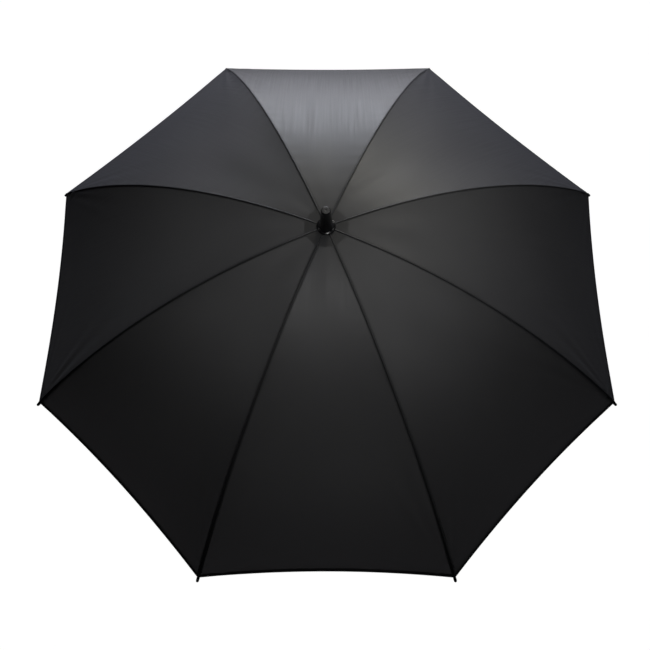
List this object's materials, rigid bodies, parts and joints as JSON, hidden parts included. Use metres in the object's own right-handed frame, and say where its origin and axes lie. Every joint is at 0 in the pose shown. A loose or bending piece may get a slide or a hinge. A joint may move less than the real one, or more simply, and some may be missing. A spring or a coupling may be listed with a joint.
{
  "type": "stick umbrella",
  "caption": "Open stick umbrella with a folding rib frame, a panelled black canopy, a sliding runner and a crook handle.",
  "frame": {"origin": "on the shaft axis, at the height of the lowest point of the crook handle", "axes": "+Z along the shaft towards the ferrule; the crook handle turns towards +X; the release button faces -X"},
  "size_m": [0.9718, 0.9718, 0.8278],
  "materials": {
    "canopy_fabric": "black woven polyester, satin sheen",
    "lining_fabric": "black woven polyester, double layer",
    "frame_steel": "black coated steel",
    "bright_steel": "plated wire and pins",
    "gloss_black": "glossy black moulding",
    "satin_black": "satin black moulding",
    "handle_black": "soft-touch black moulding",
    "tip_grey": "dark plated tip"
  },
  "bodies": {
    "root": {"shaft": "frame_steel", "ferrule": "gloss_black", "canopy_washer": "satin_black", "crown": "satin_black", "crown_wire": "bright_steel", "crown_pin": "bright_steel", "crown_patch": "lining_fabric", "opening_spring": "bright_steel", "spring_plug": "satin_black", "latch_housing": "satin_black", "button_spring": "bright_steel", "handle": "handle_black", "handle_end_cap": "satin_black"},
    "runner": {"runner": "satin_black", "runner_wire": "bright_steel", "runner_pin": "bright_steel"},
    "release_button": {"release_button": "gloss_black"},
    "rib_1": {"rib_1": "frame_steel", "rib_tip_1": "tip_grey", "joint_rivet_1": "bright_steel"},
    "stretcher_1": {"stretcher_1": "frame_steel"},
    "panel_1": {"canopy_panel_1": "canopy_fabric"},
    "rib_2": {"rib_2": "frame_steel", "rib_tip_2": "tip_grey", "joint_rivet_2": "bright_steel"},
    "stretcher_2": {"stretcher_2": "frame_steel"},
    "panel_2": {"canopy_panel_2": "canopy_fabric"},
    "rib_3": {"rib_3": "frame_steel", "rib_tip_3": "tip_grey", "joint_rivet_3": "bright_steel", "closing_strap": "lining_fabric", "strap_snap": "satin_black"},
    "stretcher_3": {"stretcher_3": "frame_steel"},
    "panel_3": {"canopy_panel_3": "canopy_fabric"},
    "rib_4": {"rib_4": "frame_steel", "rib_tip_4": "tip_grey", "joint_rivet_4": "bright_steel"},
    "stretcher_4": {"stretcher_4": "frame_steel"},
    "panel_4": {"canopy_panel_4": "canopy_fabric"},
    "rib_5": {"rib_5": "frame_steel", "rib_tip_5": "tip_grey", "joint_rivet_5": "bright_steel"},
    "stretcher_5": {"stretcher_5": "frame_steel"},
    "panel_5": {"canopy_panel_5": "canopy_fabric"},
    "rib_6": {"rib_6": "frame_steel", "rib_tip_6": "tip_grey", "joint_rivet_6": "bright_steel"},
    "stretcher_6": {"stretcher_6": "frame_steel"},
    "panel_6": {"canopy_panel_6": "canopy_fabric"},
    "rib_7": {"rib_7": "frame_steel", "rib_tip_7": "tip_grey", "joint_rivet_7": "bright_steel"},
    "stretcher_7": {"stretcher_7": "frame_steel"},
    "panel_7": {"canopy_panel_7": "canopy_fabric"},
    "rib_8": {"rib_8": "frame_steel", "rib_tip_8": "tip_grey", "joint_rivet_8": "bright_steel"},
    "stretcher_8": {"stretcher_8": "frame_steel"},
    "panel_8": {"canopy_panel_8": "canopy_fabric"}
  },
  "joints": [
    {"name": "rib_1_fold", "type": "hinge", "parent": "root", "child": "rib_1", "pos_m": [0.00785, 0.00325, 0.775], "axis": [-0.3827, 0.9239, 0], "range_deg": [0, 63], "stiffness_Nm_per_rad": 3.9, "springref_deg": -24.52, "deforming": ["crown_patch", "opening_spring"]},
    {"name": "stretcher_1_fold", "type": "hinge", "parent": "rib_1", "child": "stretcher_1", "pos_m": [0.23029, 0.09539, 0.71837], "axis": [-0.3827, 0.9239, 0], "range_deg": [-126, 0]},
    {"name": "panel_1_fold", "type": "hinge", "parent": "rib_1", "child": "panel_1", "pos_m": [0.00651, 0.00651, 0.775], "axis": [-0.6153, -0.6153, -0.4927], "range_deg": [0, 46.14], "deforming": ["canopy_panel_1"]},
    {"name": "rib_2_fold", "type": "hinge", "parent": "root", "child": "rib_2", "pos_m": [0.00325, 0.00785, 0.775], "axis": [-0.9239, 0.3827, 0], "range_deg": [0, 63]},
    {"name": "stretcher_2_fold", "type": "hinge", "parent": "rib_2", "child": "stretcher_2", "pos_m": [0.09539, 0.23029, 0.71837], "axis": [-0.9239, 0.3827, 0], "range_deg": [-126, 0]},
    {"name": "panel_2_fold", "type": "hinge", "parent": "rib_2", "child": "panel_2", "pos_m": [0, 0.0092, 0.775], "axis": [0, -0.8702, -0.4927], "range_deg": [0, 46.14], "deforming": ["canopy_panel_2"]},
    {"name": "rib_3_fold", "type": "hinge", "parent": "root", "child": "rib_3", "pos_m": [-0.00325, 0.00785, 0.775], "axis": [-0.9239, -0.3827, 0], "range_deg": [0, 63], "deforming": ["closing_strap", "strap_snap"]},
    {"name": "stretcher_3_fold", "type": "hinge", "parent": "rib_3", "child": "stretcher_3", "pos_m": [-0.09539, 0.23029, 0.71837], "axis": [-0.9239, -0.3827, 0], "range_deg": [-126, 0]},
    {"name": "panel_3_fold", "type": "hinge", "parent": "rib_3", "child": "panel_3", "pos_m": [-0.00651, 0.00651, 0.775], "axis": [0.6153, -0.6153, -0.4927], "range_deg": [0, 46.14], "deforming": ["canopy_panel_3"]},
    {"name": "rib_4_fold", "type": "hinge", "parent": "root", "child": "rib_4", "pos_m": [-0.00785, 0.00325, 0.775], "axis": [-0.3827, -0.9239, 0], "range_deg": [0, 63]},
    {"name": "stretcher_4_fold", "type": "hinge", "parent": "rib_4", "child": "stretcher_4", "pos_m": [-0.23029, 0.09539, 0.71837], "axis": [-0.3827, -0.9239, 0], "range_deg": [-126, 0]},
    {"name": "panel_4_fold", "type": "hinge", "parent": "rib_4", "child": "panel_4", "pos_m": [-0.0092, 0, 0.775], "axis": [0.8702, 0, -0.4927], "range_deg": [0, 46.14], "deforming": ["canopy_panel_4"]},
    {"name": "rib_5_fold", "type": "hinge", "parent": "root", "child": "rib_5", "pos_m": [-0.00785, -0.00325, 0.775], "axis": [0.3827, -0.9239, 0], "range_deg": [0, 63]},
    {"name": "stretcher_5_fold", "type": "hinge", "parent": "rib_5", "child": "stretcher_5", "pos_m": [-0.23029, -0.09539, 0.71837], "axis": [0.3827, -0.9239, 0], "range_deg": [-126, 0]},
    {"name": "panel_5_fold", "type": "hinge", "parent": "rib_5", "child": "panel_5", "pos_m": [-0.00651, -0.00651, 0.775], "axis": [0.6153, 0.6153, -0.4927], "range_deg": [0, 46.14], "deforming": ["canopy_panel_5"]},
    {"name": "rib_6_fold", "type": "hinge", "parent": "root", "child": "rib_6", "pos_m": [-0.00325, -0.00785, 0.775], "axis": [0.9239, -0.3827, 0], "range_deg": [0, 63]},
    {"name": "stretcher_6_fold", "type": "hinge", "parent": "rib_6", "child": "stretcher_6", "pos_m": [-0.09539, -0.23029, 0.71837], "axis": [0.9239, -0.3827, 0], "range_deg": [-126, 0]},
    {"name": "panel_6_fold", "type": "hinge", "parent": "rib_6", "child": "panel_6", "pos_m": [0, -0.0092, 0.775], "axis": [0, 0.8702, -0.4927], "range_deg": [0, 46.14], "deforming": ["canopy_panel_6"]},
    {"name": "rib_7_fold", "type": "hinge", "parent": "root", "child": "rib_7", "pos_m": [0.00325, -0.00785, 0.775], "axis": [0.9239, 0.3827, 0], "range_deg": [0, 63]},
    {"name": "stretcher_7_fold", "type": "hinge", "parent": "rib_7", "child": "stretcher_7", "pos_m": [0.09539, -0.23029, 0.71837], "axis": [0.9239, 0.3827, 0], "range_deg": [-126, 0]},
    {"name": "panel_7_fold", "type": "hinge", "parent": "rib_7", "child": "panel_7", "pos_m": [0.00651, -0.00651, 0.775], "axis": [-0.6153, 0.6153, -0.4927], "range_deg": [0, 46.14], "deforming": ["canopy_panel_7"]},
    {"name": "rib_8_fold", "type": "hinge", "parent": "root", "child": "rib_8", "pos_m": [0.00785, -0.00325, 0.775], "axis": [0.3827, 0.9239, 0], "range_deg": [0, 63]},
    {"name": "stretcher_8_fold", "type": "hinge", "parent": "rib_8", "child": "stretcher_8", "pos_m": [0.23029, -0.09539, 0.71837], "axis": [0.3827, 0.9239, 0], "range_deg": [-126, 0]},
    {"name": "panel_8_fold", "type": "hinge", "parent": "rib_8", "child": "panel_8", "pos_m": [0.0092, 0, 0.775], "axis": [-0.8702, 0, -0.4927], "range_deg": [0, 46.14], "deforming": ["canopy_panel_8"]},
    {"name": "runner_slide", "type": "hinge", "parent": "stretcher_1", "child": "runner", "pos_m": [0.00785, 0.00325, 0.66173], "axis": [-0.3827, 0.9239, 0], "range_deg": [0, 63]},
    {"name": "release_button_press", "type": "slide", "parent": "root", "child": "release_button", "axis": [1, 0, 0], "range_m": [0, 0.0025], "stiffness_N_per_m": 400, "deforming": ["button_spring"]}
  ],
  "couplings": [
    {"joint": "stretcher_1_fold", "follows": "rib_1_fold", "ratio": -2},
    {"joint": "panel_1_fold", "follows": "rib_1_fold", "ratio": 0.73233},
    {"joint": "rib_2_fold", "follows": "rib_1_fold", "ratio": 1},
    {"joint": "stretcher_2_fold", "follows": "rib_1_fold", "ratio": -2},
    {"joint": "panel_2_fold", "follows": "rib_1_fold", "ratio": 0.73233},
    {"joint": "rib_3_fold", "follows": "rib_1_fold", "ratio": 1},
    {"joint": "stretcher_3_fold", "follows": "rib_1_fold", "ratio": -2},
    {"joint": "panel_3_fold", "follows": "rib_1_fold", "ratio": 0.73233},
    {"joint": "rib_4_fold", "follows": "rib_1_fold", "ratio": 1},
    {"joint": "stretcher_4_fold", "follows": "rib_1_fold", "ratio": -2},
    {"joint": "panel_4_fold", "follows": "rib_1_fold", "ratio": 0.73233},
    {"joint": "rib_5_fold", "follows": "rib_1_fold", "ratio": 1},
    {"joint": "stretcher_5_fold", "follows": "rib_1_fold", "ratio": -2},
    {"joint": "panel_5_fold", "follows": "rib_1_fold", "ratio": 0.73233},
    {"joint": "rib_6_fold", "follows": "rib_1_fold", "ratio": 1},
    {"joint": "stretcher_6_fold", "follows": "rib_1_fold", "ratio": -2},
    {"joint": "panel_6_fold", "follows": "rib_1_fold", "ratio": 0.73233},
    {"joint": "rib_7_fold", "follows": "rib_1_fold", "ratio": 1},
    {"joint": "stretcher_7_fold", "follows": "rib_1_fold", "ratio": -2},
    {"joint": "panel_7_fold", "follows": "rib_1_fold", "ratio": 0.73233},
    {"joint": "rib_8_fold", "follows": "rib_1_fold", "ratio": 1},
    {"joint": "stretcher_8_fold", "follows": "rib_1_fold", "ratio": -2},
    {"joint": "panel_8_fold", "follows": "rib_1_fold", "ratio": 0.73233},
    {"joint": "runner_slide", "follows": "rib_1_fold", "ratio": 1}
  ]
}
